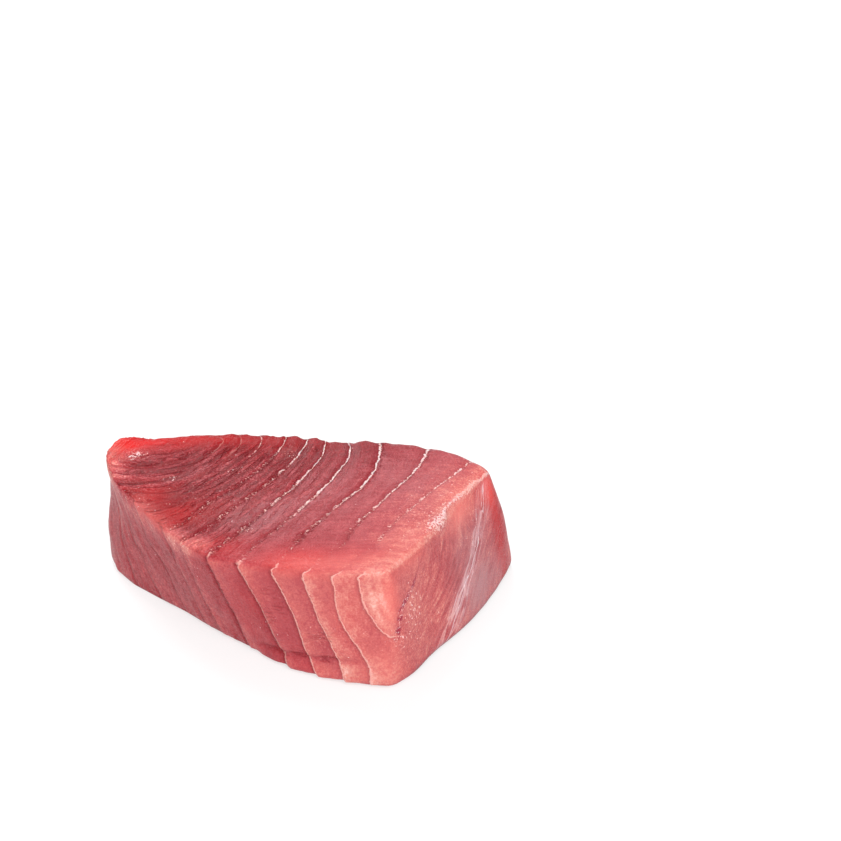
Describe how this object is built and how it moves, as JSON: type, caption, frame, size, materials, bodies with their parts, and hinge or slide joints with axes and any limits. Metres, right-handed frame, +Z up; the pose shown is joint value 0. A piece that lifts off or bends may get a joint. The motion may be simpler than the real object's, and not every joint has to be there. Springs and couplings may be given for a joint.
{
  "type": "raw skipjack tuna portion",
  "caption": "Wedge-shaped portion of raw skipjack tuna loin with pale flake lines, lying flat on its cut underside.",
  "frame": {"origin": "under the middle of the box round the portion, on the board that it lies on", "axes": "+X from the narrow end to the wide end, +Y towards the long bowed back, +Z up from the board"},
  "size_m": [0.1138, 0.073, 0.0371],
  "materials": {
    "raw_flesh": "wet raw fish flesh, wine red to salmon, with pale flake lines"
  },
  "bodies": {
    "root": {"tuna_portion": "raw_flesh"}
  },
  "joints": []
}
